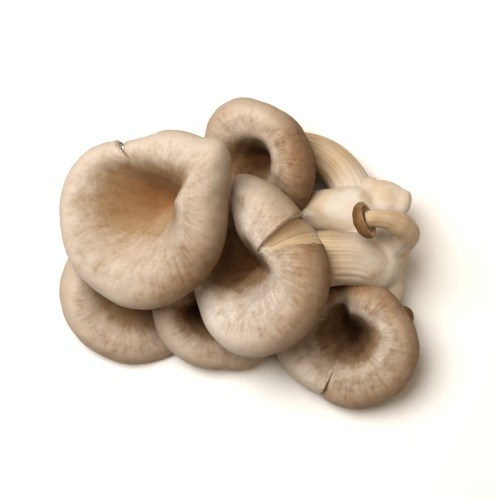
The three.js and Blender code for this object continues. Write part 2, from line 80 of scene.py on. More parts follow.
SWELLS_START = (0, 0.25)
FINE_SWELLS = (0.35, 3.3)  # height of the finer swells as a share, and how many fit in a broad one
FOLD = ((0.68, 0.06, 1), (0.54, 0.05, -0.7))  # place, width and height of a ridge and its groove
# Where along the section painted shade, with darker pigment, comes in on the rolled side and leaves the
# wall.
ROLL_SHADE_AND_PIGMENT = (0.45, 0.75)
WALL_SHADE_AND_PIGMENT = (0.52, 0.64)
CROWDING = 0.03  # how much closer together the rows are at the roll and in the throat
LIP_ROWS = 6
LIP_BULGE = 0.012
MARGIN_TONE = 1.0
UNDERSIDE_TONE = 1.2
# Torn edges take the base's pale colour: partly the flesh's own, partly painted light on faces that lie
# in shade.
TORN_TONE = 1.6
GILL_TONE = 0.3
GILL_COLUMNS = 8  # faces from one long gill to the next
GILL_SHARPNESS = 1.6
SHORT_GILLS = (0.42, 0.6)
GILLS_LOWER = (0.5, 0.85)
MARGIN_GILLS = 0.3  # height of the gills at the margin, as a share
WEB_GRID = (40, 25)
WEB_STARTS = 0.15
WEB_ROOT_DEPTH = 0.3
WEB_THICKNESS = 0.9
# The web runs from the base's pale colour at its root to the flesh's: partly its own colour, partly
# painted light where the torn lobe shades it.
WEB_TONES = (0.9, 0.6)
NECK_ROWS = 12
STEM_RIDGES = 0.7  # height of the gills on a stem, as a share
STEM_GRAIN = 2.2
# Height and length of a stem's lumps, height of its fibres and how fine they are.
STEM_ROUGHNESS = (0.45, 17, 0.22, 4.0)
BUD_ROUGHNESS = (0.3, 9, 0.1, 3.0)
BUD_COLUMNS = 120
BUD_ROWS = 40
BUD_STEM_ROWS = 60
BUD_STEM_TONES = (0.55, 0.95)
FINE_SEED, LUMP_SEED, FIBRE_SEED, WEB_SEED = 20, 5, 9, 31
BASE_SWELLS = ((0.35, 13.0, 31), (0.06, 4.0, 32))  # height, length and seed
STEM_STEPS = 40
STEM_NEAR = (0.5, 8.0)  # distance from a stem's skin over which its colour fades
STEM_CLEAN = (0.62, 0.9)  # where along a stem the base's own colour takes over
FLARE_STEPS = 30
FLARE_START = 24
FLARE_SIZE = 0.99
FLARE_GROWTH = 0.012
WELD = 2e-6
SLIVER = 1e-7

# Each mushroom: the bottom of its funnel, the lean of the funnel's axis and where it leans to.
# A spoke is (direction, crest radius, outer radius, rise, drop of the roll, steepness).
# A split is (direction, share of the section at its root, half opening, drift as it opens).
# A web is (share of the section at its end, how far its middle sinks).
# The stem is a row of (x, y, z, radius). Flesh is the thickness, as a share.
# Three tables of (direction, value), in this order:
# how late the wall turns light on its way up, 1 being evenly and less sooner; the brown it holds is
# partly the skin's own and partly painted shade of the funnel's hollow and of a neighbour's cast shadow;
# how much the rolled side is darkened where the value is above 0, by painted shade with darker pigment,
# and the wall where it is below 0, by painted shade as under a neighbouring cap;
# and, on some mushrooms, the height of a ridge along the rolled side.
# Tint takes the skin from light, at 0, to shade, at 1, and deep takes its throat to the pit and its wall
# towards it, both partly painted shade of a deep funnel, and brightens the painted highlight along the
# crest.
MUSHROOMS = {
    "right": {
        "throat": (44.5, -35, -24), "lean": 11, "toward": 220, "flesh": 0.9,
        "split": (247, 0.5, 0.9, 0),
        "brown_and_shade": ((0, 1.4), (70, 1.3), (106, 2), (125, 1.4), (150, 0.6), (235, 0.6), (290, 1.3)),
        "shade_and_pigment": (
            (0, 0.8), (60, 0.9), (85, 1), (120, 1), (138, 0), (150, -0.15), (200, -0.15),
            (245, -0.3), (250, 0.7), (290, 0.8),
        ),
        "fold": ((0, 0), (125, 0), (155, 1.2), (235, 1.9), (246.5, 1.9), (247.5, 0)),
        "slot": "skin_tan", "tint": -0.1, "deep": 1.0, "seed": 4,
        "spokes": (
            (247, 20.5, 32.5, 12.5, 9, 1.8), (270, 21, 34, 15, 9.5, 3), (300, 20, 34, 16, 9.5, 3),
            (330, 19, 32.5, 17, 9.5, 3.5), (360, 19, 29.5, 17, 9, 3.5), (390, 16, 25.5, 16, 9, 3.5),
            (420, 14, 24.5, 16, 9, 3), (446, 13.5, 23.5, 14.5, 8.5, 3), (466, 15, 21, 8.5, 6, 1.3),
            (484, 16, 22.5, 10, 7.5, 1.4), (510, 18, 27, 12, 8.5, 1.8), (540, 22, 33, 13.5, 9, 2),
            (560, 21.5, 34.5, 14, 9.5, 2.1), (583, 20, 33, 15, 9.5, 2.1), (607, 19.5, 32, 13, 9.5, 1.8),
        ),
        "stem": ((46, -32, -30.2, 7.5), (50, -25, -30.2, 8), (54, -15, -29.5, 9), (56, -7, -28, 10)),
    },
    "centre": {
        "throat": (3, -7, -10.5), "lean": 21, "toward": 175, "flesh": 1,
        "split": (43, 0.3, 15, -14), "web": (0.93, 11),
        "brown_and_shade": ((0, 0.6), (40, 0.8), (90, 1), (200, 1), (240, 0.35), (290, 0.2), (330, 0.3)),
        "shade_and_pigment": (
            (0, 1), (20, 1), (50, 0.6), (80, 0.35), (102, 0.3), (112, 0), (150, -0.4), (220, -0.4),
            (240, 0), (265, 0.25), (290, 0.6), (325, 0.85),
        ),
        "slot": "skin_tan", "tint": -0.3, "deep": 0.6, "seed": 2,
        "spokes": (
            (43, 15, 31, 20, 13, 5), (60, 17, 33, 20, 13.5, 5.5), (78, 21, 36, 20, 13.5, 6),
            (92, 26, 38.5, 19, 13, 7), (102, 30, 39.5, 17.5, 12.5, 8), (114, 25, 35, 7, 7, 1.6),
            (145, 23, 30, 9, 6, 1.4), (175, 22, 28, 12, 6, 1.3), (205, 21.5, 28, 12.5, 6.5, 1.3),
            (230, 19.5, 30.5, 13.5, 8, 1.7),
            (255, 23, 34.5, 15, 9, 3), (285, 26, 38.5, 17.5, 10, 4), (315, 25.5, 38, 19, 11, 4.5),
            (345, 23, 37, 20, 13, 4), (375, 19, 35.5, 20.5, 13, 5), (403, 16, 33.5, 20.5, 13, 5),
        ),
        "stem": (
            (4, -7, -20.5, 8.5), (10, -6.5, -23.5, 9.5), (20.5, -3.5, -13.5, 11), (30, -3.6, -11, 11.9),
            (44, -4, -13, 11.8), (54, -8, -17.5, 9.5),
        ),
    },
    "left": {
        "throat": (-33, 19.5, -2), "lean": 16, "toward": 185, "flesh": 1.05,
        "split": (126, 0.5, 3.2, 0),
        "brown_and_shade": (
            (0, 1), (60, 1.1), (110, 1.2), (160, 1.3), (185, 1), (205, 0.55), (235, 0.2),
            (285, 0.2), (310, 0.45), (335, 0.8),
        ),
        "shade_and_pigment": (
            (0, 0.3), (40, 0), (70, -0.05), (130, -0.1), (180, -0.1), (205, 0), (240, 0.05),
            (262, 0.55), (285, 0.9), (300, 0.9), (330, 0.5),
        ),
        "slot": "skin_tan", "tint": 0.0, "deep": 0.1, "seed": 1,
        "spokes": (
            (126, 27, 34.5, 16, 9, 2), (150, 34, 42.5, 16, 9, 1.8), (180, 38, 47.5, 16, 9, 1.8),
            (210, 40, 49, 16, 9, 1.8), (240, 36, 48, 15, 9, 2), (270, 28, 42, 16, 10, 2.5),
            (300, 21, 35, 19, 12, 3.5), (330, 17, 30, 22, 13, 4.5), (360, 15, 27, 23, 13, 5),
            (384, 19, 31.5, 22, 12, 4.5), (403, 26, 36.5, 21, 8, 3.5), (422, 22, 31.5, 18.5, 9.5, 3),
            (450, 20, 30.5, 16.5, 9, 2.5), (470, 22, 29.5, 16, 9, 2.2), (486, 25, 31.5, 16, 9, 2),
        ),
        "stem": (
            (-31, 19, -13, 8.5), (-25, 18, -24, 8), (-10, 15, -34.5, 7.5), (10, 13.5, -37, 8.5),
            (28, 15.5, -32, 10.5), (46, 16, -27, 12),
        ),
    },
    "top": {
        "throat": (8, 42, -32), "lean": 22, "toward": 195, "flesh": 0.95,
        "split": None,
        "brown_and_shade": ((0, 1), (120, 1.2), (180, 2), (230, 2), (300, 1)),
        "shade_and_pigment": ((0, 1), (30, 0.9), (60, 0.4), (90, 0), (150, 0.4), (200, 0.4), (240, 0), (290, 0.9)),
        "slot": "skin_tan", "tint": 0.15, "deep": 0.8, "seed": 3,
        "spokes": (
            (0, 12, 23, 18, 12, 5), (30, 12, 21.3, 18, 11, 5.5), (60, 13, 21.5, 16.5, 10.5, 6),
            (90, 15, 24, 15.5, 10, 6.5), (120, 17.5, 29, 15, 9.5, 6), (150, 18.5, 30.5, 13, 9, 3),
            (180, 20, 30, 10.5, 8, 1.6), (210, 18, 26, 9, 8, 1.5), (240, 16, 25, 9, 8, 1.5),
            (270, 15, 25, 11.5, 9, 2), (300, 16, 29.5, 15, 11, 3.5), (330, 14, 26.8, 18, 12, 4.5),
        ),
        "stem": (
            (12, 43, -42, 7), (20, 45.5, -45.6, 7.8), (31, 43.5, -42, 9), (39.5, 37.5, -38, 8.8),
            (45.5, 28, -34, 9), (50, 15, -31, 9),
        ),
    },
    "low_middle": {
        "throat": (-15, -25, -26.3), "lean": 10, "toward": 290, "flesh": 0.85,
        "split": None, "brown_and_shade": ((0, 1), (90, 1.5), (180, 1.5), (240, 1)),
        "shade_and_pigment": ((0, 0.2), (60, -0.3), (100, -1), (190, -1), (225, -0.2), (235, 0.1), (270, 0.4)),
        "slot": "skin_shaded", "tint": 0.15, "deep": 0.8, "seed": 5,
        "spokes": (
            (0, 15, 24, 7, 7, 2), (45, 9, 17, 5, 7, 2), (90, 8, 15, 4, 7, 2), (135, 8, 15, 5, 7, 2),
            (158, 11, 20, 7, 7, 2), (180, 19, 28, 11, 7, 2), (225, 18, 27.5, 11, 7.5, 2),
            (270, 18, 27, 11, 8, 2), (300, 21, 31, 10, 8, 2), (330, 22, 32, 9, 8, 2),
        ),
        "stem": (
            (-12, -23, -32.5, 6), (-3, -20, -33, 6.3), (14, -18, -33.5, 6.5), (32, -14, -33, 7.5),
            (44, -9, -31, 8.5),
        ),
    },
    "low_left": {
        "throat": (-51, -18, -29.8), "lean": 6, "toward": 315, "flesh": 0.85,
        "split": None, "brown_and_shade": ((0, 1), (180, 1), (215, 0.6), (270, 0.6), (310, 0.9)),
        "shade_and_pigment": ((0, 0), (200, 0.1), (245, 0.5), (300, 0.4)),
        "slot": "skin_shaded", "tint": 0.05, "deep": 0.5, "seed": 6,
        "spokes": (
            (0, 13, 21, 2.5, 6, 2), (45, 11, 20, 6, 7, 2), (90, 14, 23, 8, 8, 2), (135, 23, 32, 9, 8, 2),
            (180, 24, 33, 9, 8, 2), (225, 24, 33, 9, 8, 2), (270, 24, 32.5, 9, 8, 2),
            (300, 25, 33, 5.5, 6, 2), (330, 19, 27, 2, 5.5, 2),
        ),
        "stem": (
            (-47, -17, -34.5, 5), (-37, -13, -36.6, 5), (-16, -5, -37.4, 5.2), (8, -1, -37, 5.6),
            (32, -3, -36.5, 6.5), (45, -3, -35, 7),
        ),
    },
}

# Young buds: the crown of the cap, its lean, radius and height, and the stem as above.
BUDS = {
    "bud": {
        "top": (44, 11, 1.5), "lean": 115, "toward": 199, "radius": 7.6, "height": 6.2, "seed": 7,
        "stem": (
            (48.4, 12.5, 3.6, 3.4), (52.5, 13.2, 4.4, 3.8), (57.8, 12.6, 3.6, 4.2), (63, 10.5, 1.2, 4.8),
            (66.6, 7.6, -3.2, 5.3), (66, 4.8, -9, 5.5), (62, 1.5, -15, 5.5),
        ),
    },
    "small_bud": {
        "top": (70.3, -28.9, -24.5), "lean": 42, "toward": 20, "radius": 5, "height": 4.2, "seed": 8,
        "stem": ((67.8, -29.8, -27.7, 2.2), (66.3, -29.2, -29.4, 2.7), (64, -24.5, -30.5, 3),
                 (61, -17, -29.5, 3.4)),
    },
}

# Radius and height of a bud's cap, as shares, from the crown over the margin to the underside.
BUD_SECTION = (
    (0, 0), (0.34, -0.05), (0.66, -0.2), (0.9, -0.46), (1, -0.76), (0.95, -1), (0.8, -1.02),
    (0.68, -0.74), (0, -0.7),
)

# Lumps of the base: x, y, z, half width, half length, half height, degrees turned.
BASE_LUMPS = (
    (59, 21, -27, 11, 9.5, 9, 20), (66.5, 20.5, -24, 4.5, 7, 5, -28), (51, 24, -32, 9, 9, 9, 0),
    (41, 21, -38, 10, 8.5, 8, 20), (51, 12, -30, 15, 13, 13, 0), (57, 2, -24, 14, 14, 14, 0),
    (55, -9, -27, 13, 12, 12, 0), (60, -17, -27, 8, 10, 9, 0),
)

# ---- the view ----

CAMERA_DISTANCE = 500.0
VIEW_WIDTH = 210.0
SENSOR = 36.0
TABLE_SIZE = 3
ROOM_COLOUR = (1, 0.82, 0.62, 1)
ROOM_STRENGTH = 0.14
LIT_PLACE = (0, 0, 0.03)
# Each light: its name, place, diameter, power and colour.
LIGHTS = (
    ("window_light", (-0.38, 0.2, 0.95), 0.8, 9.4, (1, 1, 1)),
    ("fill_light", (0.45, -0.15, 0.85), 0.9, 1.2, (1, 0.86, 0.7)),
)


# ---- numbers ----

def mix(a, b, share):
    return a + (b - a) * share


def smooth(low, high, value):
    share = np.clip((value - low) / (high - low), 0, 1)
    return share * share * (3 - 2 * share)


def through(knots, values, at):
    """A curve without overshoot through the values at the knots."""
    knots = np.asarray(knots, float)
    values = np.asarray(values, float)
    step = np.diff(knots)[:, None]
    rise = np.diff(values, axis=0) / step
    same = rise[:-1] * rise[1:] > 0
    total = np.where(same, rise[:-1] + rise[1:], 1)
    inner = np.where(same, 2 * rise[:-1] * rise[1:] / total, 0)
    slope = np.vstack([rise[:1], inner, rise[-1:]])
    k = np.clip(np.searchsorted(knots, at, side="right") - 1, 0, len(knots) - 2)
    t = ((at - knots[k]) / (knots[k + 1] - knots[k]))[..., None]
    h = step[k]
    return (
        (2 * t**3 - 3 * t**2 + 1) * values[k]
        + (t**3 - 2 * t**2 + t) * h * slope[k]
        + (3 * t**2 - 2 * t**3) * values[k + 1]
        + (t**3 - t**2) * h * slope[k + 1]
    )


def waves(points, length, seed):
    """Smooth unevenness between about -1 and 1, with bumps of a given length."""
    rng = np.random.default_rng(seed)
    total = np.zeros(points.shape[:-1])
    for _ in range(10):
        way = rng.normal(size=3)
        way *= rng.uniform(0.6, 1.5) / np.linalg.norm(way)
        total += np.sin(points @ way * 2 * pi / length + rng.uniform(0, 2 * pi))
    return total / 4


def on_table(points):
    """Points of the cluster's frame, in millimetres, as metres on the table."""
    x, y, z = np.moveaxis(np.asarray(points, float), -1, 0)
    turned = np.stack(
        [x, y * cos(REST_TILT) - z * sin(REST_TILT), y * sin(REST_TILT) + z * cos(REST_TILT)], -1
    )
    placed = (turned + REST_SHIFT) * MM
    placed[..., 2] = np.maximum(placed[..., 2], 0)
    return placed


# ---- the funnel ----

def axes_of(plant):
    lean, toward = radians(plant["lean"]), radians(plant["toward"])
    up = np.array([sin(lean) * cos(toward), sin(lean) * sin(toward), cos(lean)])
    across = np.array([1.0, 0, 0]) - up[0] * up
    across /= np.linalg.norm(across)
    return across, np.cross(up, across), up


def measures_at(plant, share, s):
    """Crest, outer radius, rise, drop and steepness, brought together below a split's root."""
    rows = np.array(plant["spokes"], float)
    angle = rows[0, 0] + 360 * share
    if plant["split"] is None:
        turn = [360, 0, 0, 0, 0, 0]
        rows = np.vstack([rows - turn, rows, rows + turn])
        return through(rows[:, 0], rows[:, 1:], angle)
    measures = through(rows[:, 0], rows[:, 1:], angle)
    root = plant["split"][1]
    together = 1 - smooth(root, root + SEAM, s)
    lead = np.exp(-((share * SEAM_LEAD) ** 2)) - np.exp(-(((1 - share) * SEAM_LEAD) ** 2))
    return measures + (lead * together)[..., None] * (rows[-1, 1:] - rows[0, 1:]) / 2


def section(measures, s):
    """Radius and height of the funnel's face at shares of its section."""
    crest, outer, rise, drop, steepness = np.moveaxis(measures, -1, 0)
    part = np.minimum(s / WALL, 1)
    turn = CURL * np.maximum(s - WALL, 0) / (1 - WALL)
    wall_h = rise * (1 - np.maximum(1 - part * part, 0) ** steepness)
    on_wall = s <= WALL
    radius = np.where(on_wall, crest * part, crest + (outer - crest) * np.sin(turn))
    height = np.where(on_wall, wall_h, rise - drop * (1 - np.cos(turn)))
    return radius, height


def offset_section(measures, s, depth):
    r0, h0 = section(measures, s - SLOPE_STEP)
    r1, h1 = section(measures, s + SLOPE_STEP)
    r, h = section(measures, s)
    length = np.hypot(r1 - r0, h1 - h0)
    return r + depth * (h1 - h0) / length, h - depth * (r1 - r0) / length


def column_angle(plant, share, s):
    """Direction of a column of faces, which parts from its neighbour at a split."""
    if plant["split"] is None:
        return radians(1) * (plant["spokes"][0][0] + 360 * share)
    at, root, half, drift = plant["split"]
    beyond = np.where(s > root, (1 - root / np.maximum(s, root)) / (1 - root), 0)
    opened = half * beyond
    return radians(1) * (at + drift * beyond + opened + (360 - 2 * opened) * share)


def funnel(plant, share, s, depth):
    """Points of the funnel, depth below its upper face, all given as arrays."""
    share, s, depth = np.broadcast_arrays(share, s, depth)
    across, along, up = axes_of(plant)
    angle = column_angle(plant, share, s)
    r, h = offset_section(measures_at(plant, share, s), s, depth)
    flat = (r * np.cos(angle))[..., None] * across + (r * np.sin(angle))[..., None] * along
    return np.array(plant["throat"], float) + flat + h[..., None] * up


def cap_depth(s):
    return mix(CAP_THICKNESS, CAP_EDGE, smooth(*CAP_THINS, s))


def bed_depth(s):
    return cap_depth(s) + mix(GILL_BED, MARGIN_BED, smooth(*BED_THINS, s))


def unevenness(plant, share, s, look):
    """How far the flesh swells or sinks there, the same for every layer of a mushroom."""
    face = funnel(plant, share, s, 0.0)
    height, finer = FINE_SWELLS
    broad = waves(face, look.swell_length / MM, plant["seed"])
    fine = waves(face, look.swell_length / MM / finer, plant["seed"] + FINE_SEED)
    swell = (broad + height * fine) * look.swell / MM * smooth(*SWELLS_START, s)
    if plant.get("fold"):
        ridge = sum(h * np.exp(-(((s - place) / width) ** 2)) for place, width, h in FOLD)
        swell = swell + by_direction(plant["fold"], plant, share, s) * ridge
    return swell


# ---- stems ----

def centripetal(points, at):
    """Places on the curve through the points, at from 0 to 1 along it."""
    points = np.asarray(points, float)
    ends = [2 * points[0] - points[1]], [2 * points[-1] - points[-2]]
    row = np.vstack([ends[0], points, ends[1]])
    place = np.clip(np.asarray(at, float), 0, 1) * (len(points) - 1)
    k = np.minimum(place.astype(int), len(points) - 2)
    t = (place - k)[..., None]
    p0, p1, p2, p3 = row[k], row[k + 1], row[k + 2], row[k + 3]
    d0, d1, d2 = (np.linalg.norm(b - a, axis=-1, keepdims=True) ** 0.5
                  for a, b in ((p0, p1), (p1, p2), (p2, p3)))
    m1 = ((p1 - p0) / d0 - (p2 - p0) / (d0 + d1) + (p2 - p1) / d1) * d1
    m2 = ((p2 - p1) / d1 - (p3 - p1) / (d1 + d2) + (p3 - p2) / d2) * d1
    return (
        (2 * t**3 - 3 * t**2 + 1) * p1
        + (t**3 - 2 * t**2 + t) * m1
        + (3 * t**2 - 2 * t**3) * p2
        + (t**3 - t**2) * m2
    )


def stem_stations(plant, count):
    """Centre, direction, radius and the two directions across the stem, at even steps."""
    rows = np.array(plant["stem"], float)
    at = np.linspace(0, 1, count)
    centre = centripetal(rows[:, :3], at)
    direction = centripetal(rows[:, :3], at + 1e-3) - centripetal(rows[:, :3], at - 1e-3)
    direction /= np.linalg.norm(direction, axis=1, keepdims=True)
    radius = through(np.linspace(0, 1, len(rows)), rows[:, 3:], at)[:, 0]
    across = [axes_of(plant)[0]]
    for way in direction:
        turned = across[-1] - across[-1] @ way * way
        across.append(turned / np.linalg.norm(turned))
    across = np.array(across[1:])
    return centre, direction, radius, across, np.cross(across, direction)


def stem_rings(angles, stations, extra):
    """Points round the stem at the angles, extra further out than its radius."""
    centre, _, radius, across, along = stations
    reach = (radius[:, None] + extra)[..., None]
    return (
        centre[:, None]
        + reach * (np.cos(angles)[None, :, None] * across[:, None])
        + reach * (np.sin(angles)[None, :, None] * along[:, None])
    )


# ---- meshes ----

class Draft:
    """A bmesh that keeps, for each vertex, where it lies on the mushroom."""

    def __init__(self):
        self.bm = bmesh.new()
        self.grain = self.bm.verts.layers.float_vector.new("grain")
        self.tone = self.bm.verts.layers.float.new("tone")
        # How much painted shade a vertex gets: in the grooves between the gills, and, with darker
        # pigment, on a cap's shaded sides and walls.
        self.painted_shade_and_pigment = self.bm.verts.layers.float.new("painted_shade_and_pigment")

    def sheet(self, points, grain, tone, painted_shade_and_pigment):
        """A grid of faces through the points, given as rows and columns of places."""
        rows, columns = points.shape[:2]
        made = bmesh.ops.create_grid(self.bm, x_segments=columns - 1, y_segments=rows - 1, size=1)
        flat = on_table(points).reshape(-1, 3)
        values = [np.broadcast_to(v, (rows, columns)).ravel() for v in (tone, painted_shade_and_pigment)]
        grains = np.broadcast_to(grain, (rows, columns, 3)).reshape(-1, 3)
        for vert, place, ways, t, h in zip(made["verts"], flat, grains, *values):
            vert.co = place
            vert[self.grain] = ways
            vert[self.tone] = t
            vert[self.painted_shade_and_pigment] = h

    def finish(self, name, material, slot, node):
        """The closed, outward-facing piece, standing for its node."""
        bmesh.ops.remove_doubles(self.bm, verts=self.bm.verts, dist=WELD)
        bmesh.ops.dissolve_degenerate(self.bm, edges=self.bm.edges, dist=SLIVER)
        bmesh.ops.recalc_face_normals(self.bm, faces=self.bm.faces)
        for face in self.bm.faces:
            face.smooth = True
        mesh = bpy.data.meshes.new(name)
        self.bm.to_mesh(mesh)
        self.bm.free()
        piece = bpy.data.objects.new(name, mesh)
        bpy.context.collection.objects.link(piece)
        mesh.materials.append(material)
        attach(piece, BODY)
        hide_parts(node)


def round_grain(share, along, turns=10.0):
    """Grain places that run round a mushroom without a seam, and lengthwise with along."""
    angle = 2 * pi * share
    parts = np.broadcast_arrays(turns * np.cos(angle), turns * np.sin(angle), along)
    return np.stack(parts, -1)


def skin_rows(count):
    """Shares of the section, closer together at the roll and in the throat."""
    even = np.linspace(0, 1, count)
    return even + CROWDING * np.sin(2 * pi * even)


def by_direction(table, plant, share, s):
    """The value of a table of directions, at any direction round the funnel."""
    directions, values = zip(*table)
    return np.interp(np.degrees(column_angle(plant, share, s)), directions, values, period=360)


def skin_tone(plant, share, s):
    """From 0 at the bottom of the funnel to 0.6 at its crest and 1 at the margin."""
    measures = measures_at(plant, share, s)
    height = section(measures, s)[1]
    # The wall stays brown higher up where the power is larger: partly the skin's own brown, partly
    # painted shade of the funnel's hollow and of a neighbour's cast shadow.
    power = by_direction(plant["brown_and_shade"], plant, share, s)
    up_wall = WALL * np.clip(height / measures[..., 2], 0, 1) ** power
    return np.where(s <= WALL, up_wall, s)


def skin_shade_and_pigment(plant, share, s):
    """How much painted shade, with darker pigment, the rolled side of a cap gets where the table is
    above 0, and its wall where the table is below 0.
    """
    shade_and_pigment = by_direction(plant["shade_and_pigment"], plant, share, s)
    on_wall = 1 - smooth(*WALL_SHADE_AND_PIGMENT, s)
    return np.where(shade_and_pigment > 0, shade_and_pigment * smooth(*ROLL_SHADE_AND_PIGMENT, s), -shade_and_pigment * on_wall)


def add_cap(plant, draft, look):
    """The skin over the funnel, its lip, its underside and the edges of its split."""
    share = np.linspace(0, 1, look.skin_columns + 1)[None, :]
    s = skin_rows(look.skin_rows)[:, None]
    swell = unevenness(plant, share, s, look)
    thickness = cap_depth(s) * plant["flesh"]
    top = funnel(plant, share, s, -swell)
    under = funnel(plant, share, s, thickness - swell)
    lip = np.linspace(0, 1, LIP_ROWS)[:, None]
    edge = unevenness(plant, share, np.ones_like(lip), look)
    bulge = LIP_BULGE * np.sin(pi * lip)
    tip = funnel(plant, share, 1 + bulge, lip * cap_depth(1.0) * plant["flesh"] - edge)
    lip_shade_and_pigment = skin_shade_and_pigment(plant, share, np.ones_like(lip))
    draft.sheet(top, round_grain(share, s), skin_tone(plant, share, s), skin_shade_and_pigment(plant, share, s))
    draft.sheet(tip, round_grain(share, 1.0), MARGIN_TONE, lip_shade_and_pigment)
    draft.sheet(under[::-1], round_grain(share, s[::-1]), UNDERSIDE_TONE, 0)
    if plant["split"]:
        add_torn_edges(plant, draft, s, swell, 0 * s, thickness)


def add_torn_edges(plant, draft, s, swell, inner, outer):
    """The two faces of a split, from its root to the margin, between two depths."""
    first = np.argmax(s[:, 0] > plant["split"][1]) - 1
    rows = s[first:]
    across = np.linspace(0, 1, LIP_ROWS)[None, :]
    depth = mix(inner[first:], outer[first:], across)
    for column, end in ((0, 0.0), (-1, 1.0)):
        points = funnel(plant, end, rows, depth - swell[first:, column][:, None])
        draft.sheet(points, round_grain(across * 0.1, rows), TORN_TONE, 0)


# ---- gills and stem ----

def gill_relief(look, share):
    """Long gills, and shorter ones between them, each from 0 in the groove to 1 on its edge."""
    phase = share * look.gills
    long_gill = np.abs(np.cos(pi * phase)) ** GILL_SHARPNESS
    short_gill = np.abs(np.sin(pi * phase)) ** GILL_SHARPNESS
    return long_gill, short_gill


def gill_height(s):
    return GILL_HEIGHT * mix(1, MARGIN_GILLS, smooth(*GILLS_LOWER, s))


def add_gills(plant, draft, look):
    """The bed of gills under a cap, with the stem that they run down."""
    flesh = plant["flesh"]
    share = np.linspace(0, 1, look.gills * GILL_COLUMNS + 1)[None, :]
    s = np.unique(np.append(np.linspace(0, GILL_END, look.gill_rows), NECK))[:, None]
    swell = unevenness(plant, share, s, look)
    long_gill, short_gill = gill_relief(look, share)
    reach = np.maximum(long_gill, short_gill * smooth(*SHORT_GILLS, s))
    inner = cap_depth(s) * flesh + GAP
    bed = bed_depth(s) * flesh + GAP
    outer = bed + reach * gill_height(s) * flesh
    # Painted shade in the grooves between the gills, and by fixed shares on the gills' side against the
    # cap and on their rim.
    painted_shade_and_pigment = 1 - reach
    draft.sheet(funnel(plant, share, s, inner - swell), round_grain(share, s), GILL_TONE, 0.5)
    low = s[:, 0] >= NECK
    lower = funnel(plant, share, s[low], outer[low] - swell[low])[::-1]
    edge = np.linspace(0, 1, 4)[:, None]
    rim_s = np.full_like(edge, GILL_END)
    rim = funnel(plant, share, rim_s, mix(inner[-1:], outer[-1:], edge) - swell[-1:])
    draft.sheet(rim, round_grain(share, GILL_END), GILL_TONE, 0.2)
    draft.sheet(lower, round_grain(share, s[low][::-1]), GILL_TONE, painted_shade_and_pigment[low][::-1])
    if plant["split"]:
        add_torn_edges(plant, draft, s, swell, inner, bed)
    if plant.get("web"):
        add_web(plant, draft)
    add_stem(plant, draft, look, share, lower, long_gill)


def add_web(plant, draft):
    """Flesh that still spans an open split under the skin and sinks onto the stem."""
    end, sink = plant["web"]
    root = plant["split"][1]
    s = np.linspace(root, end, WEB_GRID[0])[:, None]
    across = np.linspace(0, 1, WEB_GRID[1])[None, :]
    sinking = smooth(root, root + WEB_STARTS, s)
    in_cap = cap_depth(s) * plant["flesh"] * mix(WEB_ROOT_DEPTH, 1, sinking)
    depth = in_cap + 2 * GAP * sinking
    sides = [funnel(plant, side, s, depth) for side in (0.0, 1.0)]
    up = axes_of(plant)[2]
    top = mix(sides[0], sides[1], across[..., None])
    sag = sink * smooth(root, end, s) ** 2 * np.sin(pi * across) ** 0.8
    sag += 0.25 * waves(round_grain(across * 0.2, s * 0.6, 9.0), 2.1, WEB_SEED)
    top = top - sag[..., None] * up
    thin = WEB_THICKNESS * np.sin(pi * np.linspace(0, 1, len(s)))[:, None, None] ** 0.4
    points = np.concatenate([top, (top - thin * up)[:, ::-1], top[:, :1]], axis=1)
    tone = mix(*WEB_TONES, smooth(root, end, s))
    draft.sheet(points, round_grain(np.linspace(0, 0.3, points.shape[1]), s * 2), tone, 0)


def stem_roughness(plant, share, angles, stations, roughness):
    """Lumps and lengthwise fibres of a stem, as heights over its radius."""
    lump, length, fibre, turns = roughness
    run = np.linspace(0, 1, len(stations[0]))[:, None]
    plain = stem_rings(angles, stations, 0.0)
    lumps = lump * waves(plain, length, plant["seed"] + LUMP_SEED) * smooth(0, 0.15, run)
    fibre_places = round_grain(share, run * 0.9, turns)
    return lumps, fibre * waves(fibre_places, 1.1, plant["seed"] + FIBRE_SEED)


def neck_between(lower, end, way):
    """Rings that leave the gills as they run and meet the stem's first ring in its direction."""
    start = lower[-1]
    heading = start - lower[-2]
    heading /= np.linalg.norm(heading, axis=-1, keepdims=True)
    handle = np.linalg.norm(end - start, axis=-1, keepdims=True) / 2.6
    t = np.linspace(0, 1, NECK_ROWS)[:, None, None]
    return (
        (1 - t) ** 3 * start
        + 3 * t * (1 - t) ** 2 * (start + heading * handle)
        + 3 * t**2 * (1 - t) * (end - way * handle)
        + t**3 * end
    )


def add_stem(plant, draft, look, share, lower, long_gill):
    """The neck that the gills run down, then the stem, closed at its root."""
    angles = column_angle(plant, share[0], np.full(share.shape[1], NECK))
    stations = stem_stations(plant, look.stem_rows)
    run = np.linspace(0, 1, look.stem_rows)[:, None]
    fade = 1 - smooth(0.0, look.gill_run, run)
    ridge = GILL_HEIGHT * plant["flesh"] * (STEM_RIDGES * fade) * (long_gill - 0.25)
    lumps, fibres = stem_roughness(plant, share, angles, stations, STEM_ROUGHNESS)
    fibres = fibres * smooth(0.05, 0.4, run)
    points = stem_rings(angles, stations, ridge + lumps + fibres)
    neck = neck_between(lower, points[0], stations[1][0])
    neck_grain = round_grain(share, np.linspace(NECK, 0, NECK_ROWS)[:, None])
    # Painted shade in the grooves where the gills run down the neck and the stem.
    draft.sheet(neck, neck_grain, GILL_TONE, 1 - long_gill * 0.8)
    tone = mix(GILL_TONE, 1, run)
    draft.sheet(points, round_grain(share, -run * STEM_GRAIN), tone, fade * (1 - long_gill))
    root = np.repeat(stations[0][-1][None, None], share.shape[1], 1)
    cover = np.concatenate([points[-1:], root])
    draft.sheet(cover, round_grain(share, -STEM_GRAIN), 1.0, 0)


# ---- buds ----

